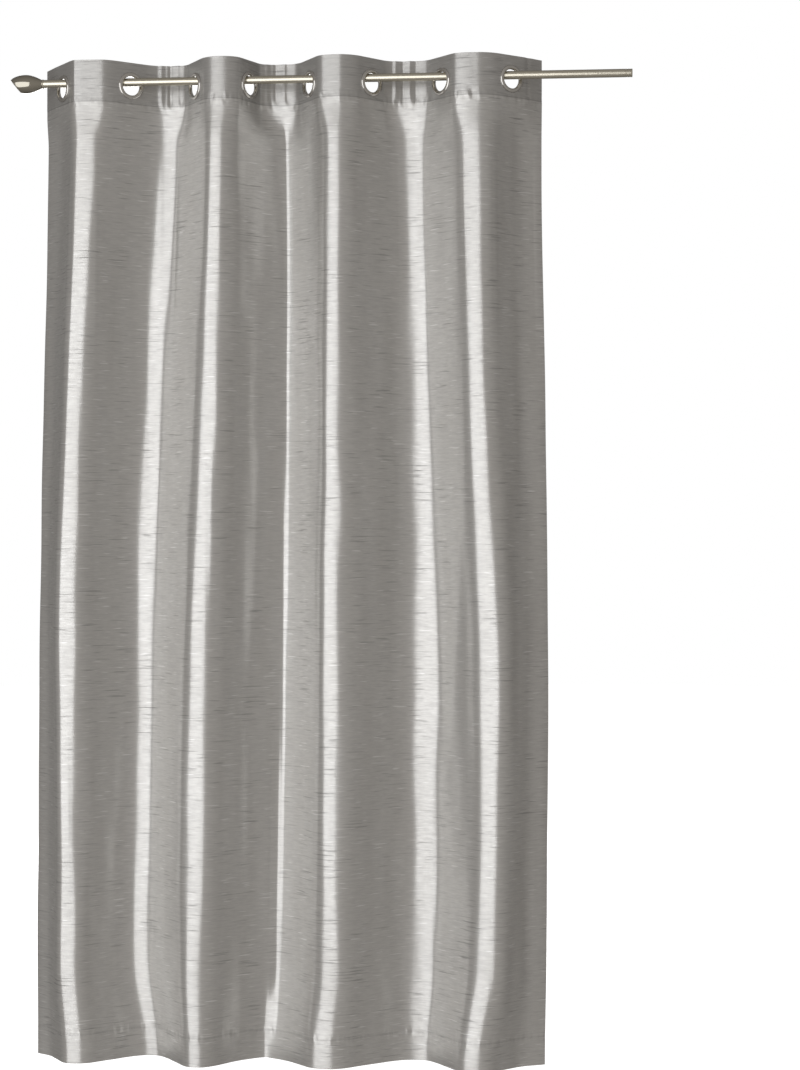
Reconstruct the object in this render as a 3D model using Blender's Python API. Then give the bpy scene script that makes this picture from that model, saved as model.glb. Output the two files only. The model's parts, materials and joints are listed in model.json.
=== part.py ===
"""Eyelet curtain panel on a metal rod with one finial.

Metres, +Z up. The rod's axis is the X axis, the panel's show face looks along -Y, and the middle of
the hung panel is at x = 0. The cloth is cut into upright leaves, one for each eyelet. Leaves meet at
the folds, where they are hinged, so that every eyelet stays on the rod while the panel is gathered.
"""

from math import cos, pi, radians, sin, sqrt

import bmesh
import bpy
from mathutils import Matrix, Vector

# Clearance between pieces that touch
GAP = 0.0003

# Rod and its two ends
ROD_RADIUS = 0.010
ROD_WALL = 0.0012
ROD_PAST_FIRST_EYELET = 0.0485
ROD_PAST_LAST_EYELET = 0.290
CAP_LENGTH = 0.017
CAP_GROOVES = (0.26, 0.66)  # grooves' middles, as shares of the cap's length
CAP_GROOVE_HALF = 0.06     # half a groove's width, as a share of the cap's length
CAP_GROOVE_DEPTH = 0.0006
CAP_SPIGOT_LENGTH = 0.020
COLLAR_LENGTH = 0.004
COLLAR_RADIUS = 0.0112
COLLAR_SPIGOT_LENGTH = 0.045
POD_LENGTH = 0.078
POD_RADIUS = 0.0228
POD_BELLY = 0.040          # from the collar to the widest place
POD_CUT_TOP = 0.011        # height of the cut's upper end above the rod's axis, at the tip
POD_CUT_RUN = 0.027        # how much nearer to the collar the cut's lower end lies
POD_CUT_FALL = 0.034       # how much lower it lies

# Eyelets: centres and turns as the panel hangs
EYELET_SPAN = 1.099        # first eyelet to last, along the rod
PITCH_SHARES = (168, 158, 133, 147, 151, 168, 169)
EYELET_TURNS = (51, 38, 55, 63, 55, 46, 46, 38)     # cloth's direction against the rod, degrees
BORE_RADIUS = 0.0235
FLANGE_WIDTH = 0.0095
BARREL_WALL = 0.0014
FRONT_DOME = 0.0038
BACK_DOME = 0.0024
DOME_EDGE = 0.25           # a ring's height at its edges, as a share of its dome's
BARREL_CURL = 0.0012       # barrel's end past the back ring's seat
FLAT_MARGIN = 0.003        # flat cloth kept past the flange

# Cloth
CLOTH = 0.0010
FACING = 0.0008
HEADER_ABOVE = 0.048       # header above the rod's axis
HEADER_BELOW = 0.052       # header seam below the rod's axis
DROP = 2.392               # rod's axis to the hem's edge
HEM = 0.070
SIDE_HEM = 0.025
SEAM_GAP = 0.001           # between the facing, a side hem and the bottom hem
FOLD_DEPTHS = (0.040, 0.043, 0.054, 0.050, 0.048, 0.041, 0.040)
HINGE_INSET = 0.014        # a fold's hinge lies this far inside its crest
FOLD_PULL = 0.42           # how far a curve keeps its direction towards a fold, against its length
EDGE_PULL = 0.40           # the same towards an edge
LEFT_REACH = 0.060         # left edge from the first eyelet, along the rod
LEFT_DEPTH = 0.078
RIGHT_REACH = 0.0715       # right edge from the last eyelet, along the rod
RIGHT_DEPTH = 0.062
LEFT_SPLIT = 0.041         # leading edge strip ends this far from the first eyelet's centre

# Facets
ROUND_SEGMENTS = 24
DOME_STEPS = 4
FOLD_STEPS = 5
POD_STEPS = 11
SHARP_ANGLE = radians(40)  # edges sharper than this stay sharp

EYELET_COUNT = len(EYELET_TURNS)
FLANGE_RADIUS = BORE_RADIUS + FLANGE_WIDTH
BARREL_RADIUS = BORE_RADIUS + BARREL_WALL
LINING_FRONT = -CLOTH / 2 - GAP
FACING_BACK = LINING_FRONT - FACING
FRONT_RING_SEAT = CLOTH / 2 + GAP
BACK_RING_SEAT = FACING_BACK - GAP


# ---------------------------------------------------------------- materials

def material(name, colour, roughness, metallic=0.0):
    """A Principled material of one colour."""
    made = bpy.data.materials.new(name)
    made.use_nodes = True
    shader = made.node_tree.nodes["Principled BSDF"]
    shader.inputs["Base Color"].default_value = (*colour, 1.0)
    shader.inputs["Roughness"].default_value = roughness
    shader.inputs["Metallic"].default_value = metallic
    return made


# ---------------------------------------------------------------- layout

def eyelet_places():
    """The x of each eyelet's centre, with the hung panel's middle at 0."""
    left = -(LEFT_REACH + EYELET_SPAN + RIGHT_REACH) / 2 + LEFT_REACH
    places = [left]
    for share in PITCH_SHARES:
        places.append(places[-1] + EYELET_SPAN * share / sum(PITCH_SHARES))
    return places


def hang_drop(turn):
    """How far an eyelet's centre hangs below the rod's axis when it rests on the rod."""
    clear_radius = ROD_RADIUS + GAP
    drop = BORE_RADIUS
    for radius, depth in front_ring_profile() + back_ring_profile():
        facet_radius = radius * cos(pi / ROUND_SEGMENTS)
        for degrees_up in range(1, 91):
            angle = radians(degrees_up)
            across = max(0.0, facet_radius * cos(angle) * sin(turn) - abs(depth) * cos(turn))
            if across < clear_radius:
                drop = min(drop, facet_radius * sin(angle) - sqrt(clear_radius ** 2 - across ** 2))
    return max(drop, 0.0)


def least_turn():
    """The smallest turn against the rod at which the rod still passes through an eyelet."""
    facet = cos(pi / ROUND_SEGMENTS)
    rings = front_ring_profile() + back_ring_profile()
    for degrees in range(1, 91):
        turn = radians(degrees)
        opening = min(radius * facet * sin(turn) - abs(depth) * cos(turn) for radius, depth in rings)
        if opening >= ROD_RADIUS + GAP:
            break
    return turn


def eyelet_frames():
    """For each eyelet: its centre, the cloth's direction there and the front normal."""
    frames = []
    for index, x in enumerate(eyelet_places()):
        turn = max(radians(EYELET_TURNS[index]), least_turn())
        side = -1 if index % 2 == 0 else 1
        along = Vector((cos(turn), side * sin(turn), 0))
        normal = Vector((along.y, -along.x, 0))
        frames.append((Vector((x, 0, -hang_drop(turn))), along, normal))
    return frames


def fold_places():
    """The (x, y) of each fold between two eyelets: crests at the front, troughs at the back."""
    xs = eyelet_places()
    places = []
    for index, depth in enumerate(FOLD_DEPTHS):
        side = -1 if index % 2 == 0 else 1
        places.append(Vector(((xs[index] + xs[index + 1]) / 2, side * depth)))
    return places


def leaf_origins():
    """For each leaf, a place on the axis that it turns about: the first eyelet, then the folds."""
    origins = [Vector((eyelet_places()[0], 0, 0))]
    for fold in fold_places():
        depth = abs(fold.y) - HINGE_INSET
        origins.append(Vector((fold.x, depth if fold.y > 0 else -depth, 0)))
    return origins


def bezier(start, start_pull, end_pull, end, steps):
    """Points of a cubic curve, without its start."""
    points = []
    for step in range(1, steps + 1):
        t = step / steps
        s = 1 - t
        points.append(s ** 3 * start + 3 * s * s * t * start_pull
                      + 3 * s * t * t * end_pull + t ** 3 * end)
    return points


def half_leaf(centre, along, fold, way):
    """Plan points from an eyelet's flat cloth to a fold; way is 1 to the right, -1 to the left."""
    flat = FLANGE_RADIUS + FLAT_MARGIN
    start = centre + way * flat * along
    end = fold - Vector((way * GAP / 2, 0))
    pull = FOLD_PULL * (end - start).length
    rod_way = Vector((way, 0))
    return [start] + bezier(start, start + way * pull * along, end - pull * rod_way, end, FOLD_STEPS)


def left_edge():
    """Plan place of the panel's left edge."""
    return Vector((eyelet_places()[0] - LEFT_REACH, LEFT_DEPTH))


def right_edge():
    """Plan place of the panel's right edge."""
    return Vector((eyelet_places()[-1] + RIGHT_REACH, RIGHT_DEPTH))


def leaf_path(index):
    """Plan points of one leaf's middle surface, left to right."""
    centre, along, _ = eyelet_frames()[index]
    centre, along = centre.xy, along.xy
    folds = fold_places()
    if index == 0:
        left = [centre - (LEFT_SPLIT - GAP) * along]
    else:
        left = half_leaf(centre, along, folds[index - 1], -1)[::-1]
    if index == EYELET_COUNT - 1:
        end = right_edge()
        start = centre + (FLANGE_RADIUS + FLAT_MARGIN) * along
        pull = EDGE_PULL * (end - start).length
        right = [start] + bezier(start, start + pull * along, end - pull * along, end, FOLD_STEPS)
    else:
        right = half_leaf(centre, along, folds[index], 1)
    return left + right


def leading_edge_path():
    """Plan points of the strip between the left edge and the first leaf, left to right."""
    centre, along, _ = eyelet_frames()[0]
    centre, along = centre.xy, along.xy
    end = centre - LEFT_SPLIT * along
    start = left_edge()
    pull = EDGE_PULL * (end - start).length
    turned = (end - start).normalized()
    return [start] + bezier(start, start + pull * turned, end - pull * along, end, FOLD_STEPS)


def part_of_path(path, length, from_right):
    """The stretch of a path that lies within a length of one of its ends."""
    points = path[::-1] if from_right else list(path)
    kept = [points[0]]
    left = length
    for before, after in zip(points, points[1:]):
        run = (after - before).length
        if run >= left:
            kept.append(before + (after - before) * left / run)
            break
        kept.append(after)
        left -= run
    return kept[::-1] if from_right else kept


# ---------------------------------------------------------------- solids

def add_object(name, mesh_maker, surface, origin):
    """A named object of one mesh, with its origin at a place and one material."""
    mesh = bpy.data.meshes.new(name)
    built = bmesh.new()
    mesh_maker(built)
    bmesh.ops.translate(built, verts=built.verts, vec=-origin)
    bmesh.ops.recalc_face_normals(built, faces=built.faces)
    built.to_mesh(mesh)
    built.free()
    mesh.materials.append(surface)
    made = bpy.data.objects.new(name, mesh)
    made.location = origin
    bpy.context.collection.objects.link(made)
    return made


def offset_path(path, distance):
    """A plan path moved to its front by a distance, with its mitres kept."""
    moved = []
    for index, point in enumerate(path):
        before = path[max(index - 1, 0)]
        after = path[min(index + 1, len(path) - 1)]
        ways = [(b - a).normalized() for a, b in ((before, point), (point, after)) if b != a]
        way = (ways[0] + ways[-1]).normalized()
        stretch = way.dot(ways[0])
        moved.append(point + Vector((way.y, -way.x)) * distance / stretch)
    return moved


def squared_ends(path, end_planes):
    """A path whose ends that lie on a fold keep that fold's upright plane."""
    ends = list(path)
    for position, x in end_planes:
        ends[position] = Vector((x, ends[position].y))
    return ends


def sheet_maker(path, back, front, bottom, top, planes=()):
    """A maker of an upright sheet along a plan path, between two offsets and two heights."""
    front_line = squared_ends(offset_path(path, front), planes)
    back_line = squared_ends(offset_path(path, back), planes)

    def make(built):
        outline = front_line + back_line[::-1]
        low = [built.verts.new((p.x, p.y, bottom)) for p in outline]
        high = [built.verts.new((p.x, p.y, top)) for p in outline]
        count, last = len(outline), len(front_line) - 1
        for index in range(count):
            after = (index + 1) % count
            built.faces.new((low[index], low[after], high[after], high[index]))
        for ring in (low, high):
            for index in range(last):
                built.faces.new((ring[index], ring[index + 1],
                                 ring[count - 2 - index], ring[count - 1 - index]))
    return make


def fold_planes(index):
    """The ends of a leaf's path that lie on a fold, with the fold's x less half a clearance."""
    folds = fold_places()
    planes = []
    if index > 0:
        planes.append((0, folds[index - 1].x + GAP / 2))
    if index < EYELET_COUNT - 1:
        planes.append((-1, folds[index].x - GAP / 2))
    return planes


def lathe_maker(profile, centre, axis):
    """A maker of a solid turned round an axis, from (radius, distance along the axis) points."""
    across = axis.cross(Vector((0, 0, 1)))
    if across.length < 0.5:
        across = Vector((0, 1, 0))
    across.normalize()
    upright = axis.cross(across)
    closed = profile[0][0] == 0

    def ring(built, radius, along):
        middle = centre + along * axis
        if radius == 0:
            return [built.verts.new(middle)]
        return [built.verts.new(middle + radius * (cos(angle) * across + sin(angle) * upright))
                for angle in (2 * pi * (step + 0.5) / ROUND_SEGMENTS for step in range(ROUND_SEGMENTS))]

    def make(built):
        rings = [ring(built, radius, along) for radius, along in profile]
        pairs = list(zip(rings, rings[1:]))
        if not closed:
            pairs.append((rings[-1], rings[0]))
        for low, high in pairs:
            for index in range(ROUND_SEGMENTS):
                after = (index + 1) % ROUND_SEGMENTS
                corners = [low[index % len(low)], low[after % len(low)],
                           high[after % len(high)], high[index % len(high)]]
                built.faces.new(list(dict.fromkeys(corners)))
    return make


def cut(target, cutter):
    """Take one object's shape out of another, and keep the cutter as a hidden helper."""
    cutter.hide_render = True
    cutter.display_type = "WIRE"
    hole = target.modifiers.new("cut", "BOOLEAN")
    hole.operation = "DIFFERENCE"
    hole.solver = "EXACT"
    hole.object = cutter


def soften(made):
    """Shade a round piece smooth, with its real edges left sharp."""
    made.data.shade_smooth()
    made.data.set_sharp_from_angle(angle=SHARP_ANGLE)


# ---------------------------------------------------------------- cloth

def make_cloth(fabric, backing):
    """The leaves with their facings, hems and eyelet holes, and the leading edge strip."""
    header = (-HEADER_BELOW, HEADER_ABOVE)
    lower_hem = (-DROP, -DROP + HEM)
    side_hem = (-DROP + HEM + SEAM_GAP, -HEADER_BELOW - SEAM_GAP)
    hem_back = LINING_FRONT - CLOTH
    origins = leaf_origins()
    for index, (centre, _, normal) in enumerate(eyelet_frames()):
        number, origin = index + 1, origins[index]
        path, planes = leaf_path(index), fold_planes(index)
        leaf = add_object(f"cloth_leaf_{number}",
                          sheet_maker(path, -CLOTH / 2, CLOTH / 2, -DROP, HEADER_ABOVE, planes),
                          fabric, origin)
        facing = add_object(f"header_facing_{number}",
                            sheet_maker(path, FACING_BACK, LINING_FRONT, *header, planes),
                            backing, origin)
        add_object(f"bottom_hem_{number}",
                   sheet_maker(path, hem_back, LINING_FRONT, *lower_hem, planes), fabric, origin)
        cutter = add_object(f"eyelet_hole_{number}", hole_maker(centre, normal), fabric, centre)
        cut(leaf, cutter)
        cut(facing, cutter)
    origin = origins[0]
    strip = leading_edge_path()
    add_object("cloth_leading_edge",
               sheet_maker(strip, -CLOTH / 2, CLOTH / 2, -DROP, HEADER_ABOVE), fabric, origin)
    add_object("header_facing_edge",
               sheet_maker(strip, FACING_BACK, LINING_FRONT, *header), backing, origin)
    add_object("bottom_hem_edge",
               sheet_maker(strip, hem_back, LINING_FRONT, *lower_hem), fabric, origin)
    for name, path, from_right, place in (
            ("side_hem_left", strip, False, origin),
            ("side_hem_right", leaf_path(EYELET_COUNT - 1), True, origins[-1])):
        edge = part_of_path(path, SIDE_HEM, from_right)
        add_object(name, sheet_maker(edge, hem_back, LINING_FRONT, *side_hem), fabric, place)


def hole_maker(centre, normal):
    """A maker of the plug that cuts an eyelet's hole through all the layers."""
    radius = BARREL_RADIUS + GAP
    reach = CLOTH + FACING + GAP
    profile = ((0, -reach), (radius, -reach), (radius, reach), (0, reach))
    return lathe_maker(profile, centre, normal)


# ---------------------------------------------------------------- eyelets

def dome(inner, outer, base, height):
    """Profile points over a rounded flange, from its inner edge to its outer edge."""
    middle, half = (inner + outer) / 2, (outer - inner) / 2
    points = []
    for step in range(DOME_STEPS + 1):
        angle = pi * (1 - step / DOME_STEPS)
        share = DOME_EDGE + (1 - DOME_EDGE) * sin(angle)
        points.append((middle + half * cos(angle), base + height * share))
    return points


def front_ring_profile():
    """The front ring: a rounded flange over the cloth and the barrel through it."""
    barrel_end = BACK_RING_SEAT - BARREL_CURL
    return ([(BARREL_RADIUS, barrel_end), (BORE_RADIUS, barrel_end)]
            + dome(BORE_RADIUS, FLANGE_RADIUS, FRONT_RING_SEAT, FRONT_DOME)
            + [(FLANGE_RADIUS - GAP, FRONT_RING_SEAT), (BARREL_RADIUS, FRONT_RING_SEAT)])


def back_ring_profile():
    """The back ring: a rounded washer that locks round the barrel."""
    inner = BARREL_RADIUS + GAP
    return ([(inner, BACK_RING_SEAT)]
            + dome(inner, FLANGE_RADIUS, BACK_RING_SEAT, -BACK_DOME)
            + [(FLANGE_RADIUS - GAP, BACK_RING_SEAT)])


def make_eyelets(metal):
    """Each eyelet's front ring and its back ring."""
    origins = leaf_origins()
    for index, (centre, _, normal) in enumerate(eyelet_frames()):
        for side, profile in (("front", front_ring_profile()), ("back", back_ring_profile())):
            soften(add_object(f"eyelet_{side}_{index + 1}", lathe_maker(profile, centre, normal),
                              metal, origins[index]))


# ---------------------------------------------------------------- rod

def make_rod(metal):
    """The tube, its end cap on the right, and the finial's collar and pod on the left."""
    places = eyelet_places()
    left = places[0] - ROD_PAST_FIRST_EYELET
    cap_face = places[-1] + ROD_PAST_LAST_EYELET
    right = cap_face - CAP_LENGTH - GAP
    bore = ROD_RADIUS - ROD_WALL
    plug = bore - GAP
    to_right = Vector((1, 0, 0))
    tube = ((bore, left), (ROD_RADIUS, left), (ROD_RADIUS, right), (bore, right))
    soften(add_object("rod_tube", lathe_maker(tube, Vector(), to_right), metal, Vector()))
    cap = end_cap_profile(plug)
    soften(add_object("rod_end_cap", lathe_maker(cap, Vector((right + GAP, 0, 0)), to_right),
                      metal, Vector((right, 0, 0))))
    collar_place = Vector((left - GAP, 0, 0))
    to_left = Vector((-1, 0, 0))
    soften(add_object("finial_collar", lathe_maker(collar_profile(plug), collar_place, to_left),
                      metal, collar_place))
    pod_place = collar_place + (COLLAR_LENGTH + GAP) * to_left
    pod = add_object("finial_pod", lathe_maker(pod_profile(), pod_place, to_left), metal, collar_place)
    cut(pod, pod_cutter(pod_place, metal))
    soften(pod)


def end_cap_profile(plug):
    """The cap's profile from its spigot to its face, with two shallow grooves round it."""
    profile = [(0, -CAP_SPIGOT_LENGTH), (plug, -CAP_SPIGOT_LENGTH), (plug, 0), (ROD_RADIUS, 0)]
    for middle in CAP_GROOVES:
        profile += [(ROD_RADIUS, (middle - CAP_GROOVE_HALF) * CAP_LENGTH),
                    (ROD_RADIUS - CAP_GROOVE_DEPTH, middle * CAP_LENGTH),
                    (ROD_RADIUS, (middle + CAP_GROOVE_HALF) * CAP_LENGTH)]
    return profile + [(ROD_RADIUS, CAP_LENGTH), (0, CAP_LENGTH)]


def collar_profile(plug):
    """The collar's profile: a spigot inside the tube and a rounded bead outside it."""
    bead = COLLAR_RADIUS - ROD_RADIUS
    profile = [(0, -COLLAR_SPIGOT_LENGTH), (plug, -COLLAR_SPIGOT_LENGTH), (plug, 0)]
    for step in range(DOME_STEPS + 1):
        angle = pi * step / DOME_STEPS
        profile.append((ROD_RADIUS + bead * sin(angle), COLLAR_LENGTH * step / DOME_STEPS))
    return profile + [(0, COLLAR_LENGTH)]


def pod_profile():
    """The bud's profile: it swells from the collar to its belly and closes as an ellipse."""
    nose = POD_LENGTH - POD_BELLY
    full_nose = nose / sqrt(1 - (POD_CUT_TOP / POD_RADIUS) ** 2)
    profile = [(0, 0)]
    for step in range(POD_STEPS // 2 + 1):
        share = 2 * step / POD_STEPS
        swell = sin(share * pi / 2)
        profile.append((ROD_RADIUS + (POD_RADIUS - ROD_RADIUS) * swell, POD_BELLY * share))
    for step in range(POD_STEPS + 1):
        angle = step / POD_STEPS * pi / 2
        profile.append((POD_RADIUS * cos(angle) if step < POD_STEPS else 0,
                        POD_BELLY + full_nose * sin(angle)))
    return profile


def pod_cutter(place, metal):
    """A block whose face is the oblique plane that trims the bud's tip."""
    tip = place + Vector((-POD_LENGTH, 0, POD_CUT_TOP))
    run = Vector((POD_CUT_RUN, 0, -POD_CUT_FALL)).normalized()
    out = Vector((run.z, 0, -run.x))
    size = 3 * POD_RADIUS
    turn = Matrix((run, Vector((0, 1, 0)), out)).transposed().to_4x4()
    middle = tip + out * size / 2 + run * POD_RADIUS

    def make(built):
        bmesh.ops.create_cube(built, size=size, matrix=Matrix.Translation(middle) @ turn)
    return add_object("pod_trim", make, metal, tip)


def build():
    """Clear the scene and make every piece."""
    for old in list(bpy.data.objects):
        bpy.data.objects.remove(old)
    fabric = material("satin_cloth", (0.42, 0.41, 0.40), 0.38)
    backing = material("header_facing", (0.50, 0.49, 0.48), 0.8)
    nickel = material("polished_nickel", (0.80, 0.78, 0.74), 0.12, 1.0)
    brushed = material("brushed_nickel", (0.62, 0.58, 0.50), 0.25, 1.0)
    make_rod(brushed)
    make_cloth(fabric, backing)
    make_eyelets(nickel)


build()
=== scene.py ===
"""Looks for the eyelet curtain panel: satin cloth, nickel eyelets, brushed rod and finial.

Metres, in the frame's axes: the rod lies along X, the show face looks along -Y, +Z is up.
The cloth is one surface over a grid of flat-cloth coordinates. It is cut into strips from eyelet to
eyelet, each of which bends at the one fold that it holds.
"""
import json
from math import atan2, cos, hypot, pi, radians, sin, sqrt

import bmesh
import bpy
import numpy as np
from mathutils import Matrix, Vector, noise


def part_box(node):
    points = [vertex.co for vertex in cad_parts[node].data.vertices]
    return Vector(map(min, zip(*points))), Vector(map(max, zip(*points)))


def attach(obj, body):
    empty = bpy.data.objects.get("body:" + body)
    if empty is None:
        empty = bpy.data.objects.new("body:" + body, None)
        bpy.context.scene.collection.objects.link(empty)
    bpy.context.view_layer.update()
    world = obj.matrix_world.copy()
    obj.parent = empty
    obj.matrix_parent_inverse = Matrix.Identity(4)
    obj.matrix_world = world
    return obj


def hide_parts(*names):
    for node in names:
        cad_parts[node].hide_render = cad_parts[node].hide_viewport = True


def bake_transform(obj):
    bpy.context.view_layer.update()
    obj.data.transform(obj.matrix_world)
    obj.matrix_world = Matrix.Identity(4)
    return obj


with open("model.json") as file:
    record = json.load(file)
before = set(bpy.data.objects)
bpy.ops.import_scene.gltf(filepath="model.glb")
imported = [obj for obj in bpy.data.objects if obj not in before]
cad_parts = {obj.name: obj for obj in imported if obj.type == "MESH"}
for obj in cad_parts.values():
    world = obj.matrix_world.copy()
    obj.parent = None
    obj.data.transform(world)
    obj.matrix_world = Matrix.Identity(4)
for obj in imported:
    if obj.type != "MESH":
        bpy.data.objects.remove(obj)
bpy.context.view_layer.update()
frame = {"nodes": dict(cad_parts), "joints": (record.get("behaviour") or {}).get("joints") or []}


# ---------------------------------------------------------------- places from the frame

EYELETS = 8
FOLDS = EYELETS - 1


def node_points(name):
    """A CAD node's vertices as an array."""
    return np.array([v.co for v in frame["nodes"][name].data.vertices], float)


def eyelet_axis(number):
    """An eyelet's centre on the rod's line, and its front normal, from the front ring's shape."""
    points = node_points(f"eyelet_front_{number}")
    middle = (points.max(0) + points.min(0)) / 2
    spread = points - points.mean(0)
    normal = np.linalg.svd(spread, full_matrices=False)[2][2]
    normal[2] = 0.0
    normal /= np.linalg.norm(normal)
    if normal[1] > 0:
        normal = -normal
    centre = middle - normal * middle[1] / normal[1]
    return centre, normal


AXES = [eyelet_axis(number + 1) for number in range(EYELETS)]
ALONG = [np.array((-normal[1], normal[0])) for _, normal in AXES]
JOINTS = {joint["name"]: joint for joint in frame["joints"]}
HEADER_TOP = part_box("cloth_leaf_1")[1].z
HEADER_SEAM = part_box("header_facing_1")[0].z
HEM_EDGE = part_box("cloth_leaf_1")[0].z
HEM_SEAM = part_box("bottom_hem_1")[1].z
RING_RADIUS = (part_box("eyelet_front_1")[1].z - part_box("eyelet_front_1")[0].z) / 2
FLAT = RING_RADIUS + 0.003
LEFT_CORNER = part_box("cloth_leading_edge")
RIGHT_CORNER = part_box("cloth_leaf_8")


# ---------------------------------------------------------------- how the cloth hangs

# Heights at which the folds' places are known, from the header down
LEVELS = (-0.148, -0.780, -1.412, -2.141, HEM_EDGE)

# Each fold's place along the rod at those heights, and the two edges'
FOLD_X = (
    (-0.496, -0.523, -0.543, -0.538, -0.520),
    (-0.299, -0.343, -0.363, -0.374, -0.342),
    (-0.164, -0.179, -0.205, -0.218, -0.215),
    (-0.010, -0.008, -0.016, -0.033, -0.062),
    (0.123, 0.118, 0.113, 0.118, 0.097),
    (0.293, 0.310, 0.325, 0.315, 0.312),
    (0.462, 0.475, 0.511, 0.502, 0.460),
)
# Each fold's depth at those heights against the others'; all are scaled to hold the cloth's width
FOLD_DEPTH = (
    (0.040, 0.037, 0.036, 0.036, 0.036),
    (0.042, 0.038, 0.036, 0.036, 0.034),
    (0.050, 0.044, 0.044, 0.044, 0.046),
    (0.048, 0.042, 0.040, 0.038, 0.034),
    (0.046, 0.038, 0.036, 0.036, 0.038),
    (0.041, 0.040, 0.040, 0.040, 0.042),
    (0.040, 0.038, 0.038, 0.038, 0.042),
)
# How round each fold is: the share of a curve's length over which it keeps its direction
FOLD_ROUND = (0.46, 0.36, 0.36, 0.10, 0.36, 0.42, 0.42)
LEFT_EDGE = ((-0.612, -0.621, -0.627, -0.632, -0.630), (0.068, 0.050, 0.036, 0.032, 0.032))
RIGHT_EDGE = ((0.615, 0.624, 0.630, 0.627, 0.624), (0.050, 0.040, 0.034, 0.030, 0.028))

HEADER_ROUND = (0.44, 0.34, 0.18, 0.30, 0.20, 0.34, 0.30)   # the same in the header
HEADER_SHIFT = (0.0, 0.008, 0.0, 0.006, 0.0, 0.006, 0.0)    # header folds' drift along the rod
STEEPER = 1.5              # a fold's side against the straight line between its two folds
LEAVING = 0.40             # how far a curve keeps its direction as it leaves a crossing
LOWER_FLAT = 0.012         # straight cloth on each side of a crossing below the header
CURVE_STEPS = 60           # points on each curve

COLUMNS = 32               # grid columns from an eyelet to a fold
HEADER_ROW = 0.003         # grid rows' spacing in the header, down the middle and at the hem
MIDDLE_ROW = 0.011
HEM_ROW = 0.004

CLOTH = 0.0006             # cloth's thickness
LINING = 0.0007            # header lining's thickness
LINING_PLACE = -0.00095    # header lining's middle behind the cloth's
HEM_PLACE = -0.00090       # the hems' middle behind the cloth's
SIDE_HEM = 0.025
SEAM_INSET = 0.003
HOLE_RADIUS = 0.0262       # the cloth's hole, under the eyelet's flange
STITCH = 0.0034            # one stitch and the gap after it
STITCH_SHARE = 0.72        # how much of that is thread
THREAD = 0.00022           # thread's radius

# Heights of the slow and quick waves down the folds
SLOW_WAVE = 0.0050
QUICK_WAVE = 0.0016

# Upright creases in the header: eyelet, distance across from its centre, width, height.
CREASES = (
    (1, 0.080, 0.006, 0.0022), (1, 0.102, 0.004, -0.0030), (1, 0.120, 0.006, 0.0022),
    (3, 0.062, 0.005, 0.0016), (3, 0.084, 0.005, -0.0016), (3, 0.104, 0.006, 0.0022),
    (5, 0.070, 0.006, 0.0024), (5, 0.088, 0.004, -0.0026), (5, 0.104, 0.005, 0.0022),
    (5, 0.120, 0.004, -0.0020), (0, 0.055, 0.006, 0.0016), (7, 0.050, 0.007, -0.0018),
)


def front_or_back(fold):
    """-1 for a fold towards the viewer, 1 for one behind the rod."""
    return -1 if fold % 2 == 0 else 1


def bezier(start, start_pull, end_pull, end, steps):
    """Points of a cubic curve with both its ends."""
    t = np.linspace(0, 1, steps)[:, None]
    s = 1 - t
    return s ** 3 * start + 3 * s * s * t * start_pull + 3 * s * t * t * end_pull + t ** 3 * end


def lengths(points):
    """Running length along a polyline."""
    return np.r_[0, np.cumsum(np.hypot(*np.diff(points, axis=0).T))]


def sample(points, shares):
    """A polyline's points at shares of its whole length."""
    runs = lengths(points)
    at = np.asarray(shares) * runs[-1]
    return np.stack([np.interp(at, runs, points[:, 0]), np.interp(at, runs, points[:, 1])], 1)


def half_curve(crossing, along, flat, end, way, end_way, pull):
    """Plan points from a crossing of the rod's line to a fold or an edge."""
    start = crossing + way * flat * along
    reach = np.hypot(*(end - start))
    curve = bezier(start, start + way * LEAVING * reach * along, end - pull * reach * end_way, end,
                   CURVE_STEPS)
    return np.vstack([crossing, curve])


def plan(crossings, ways, flats, folds, left, right, pulls):
    """One height's whole plan curve, left edge to right edge."""
    rod_way = np.array((1.0, 0.0))
    ends, pulls = [left] + folds + [right], (LEAVING,) + tuple(pulls) + (LEAVING,)
    points = []
    for index, (crossing, along, flat) in enumerate(zip(crossings, ways, flats)):
        for side, way in ((index, -1), (index + 1, 1)):
            end_way = way * rod_way
            if side in (0, EYELETS):
                end_way = (ends[side] - crossing) / np.hypot(*(ends[side] - crossing))
            half = half_curve(crossing, along, flat, ends[side], way, end_way, pulls[side])
            if way < 0:
                half = half[::-1] if index == 0 else half[-2::-1]
            points.extend(half if way < 0 else half[1:])
    return np.array(points)


def header_plan():
    """The plan curve through the eyelets, as the frame has it."""
    crossings = [centre[:2] for centre, _ in AXES]
    folds = []
    for fold in range(FOLDS):
        x = JOINTS[f"fold_{fold + 1}"]["pos_m"][0] + HEADER_SHIFT[fold]
        low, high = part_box(f"cloth_leaf_{fold + 1}")
        y = low.y if front_or_back(fold) < 0 else high.y
        folds.append(np.array((x, y)))
    left = np.array((LEFT_CORNER[0].x, LEFT_CORNER[1].y))
    right = np.array((RIGHT_CORNER[1].x, RIGHT_CORNER[1].y))
    return plan(crossings, ALONG, [FLAT] * EYELETS, folds, left, right, HEADER_ROUND)


def half_ends(header, half):
    """The plan point where a half leaf starts: an eyelet, a fold or an edge."""
    if half % 2 == 1:
        return AXES[half // 2][0][:2]
    if half == 0:
        return header[0]
    if half == 2 * EYELETS:
        return header[-1]
    between = [k for k in range(len(header))
               if AXES[half // 2 - 1][0][0] < header[k][0] < AXES[half // 2][0][0]]
    side = front_or_back(half // 2 - 1)
    return max((header[k] for k in between), key=lambda point: side * point[1])


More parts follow.
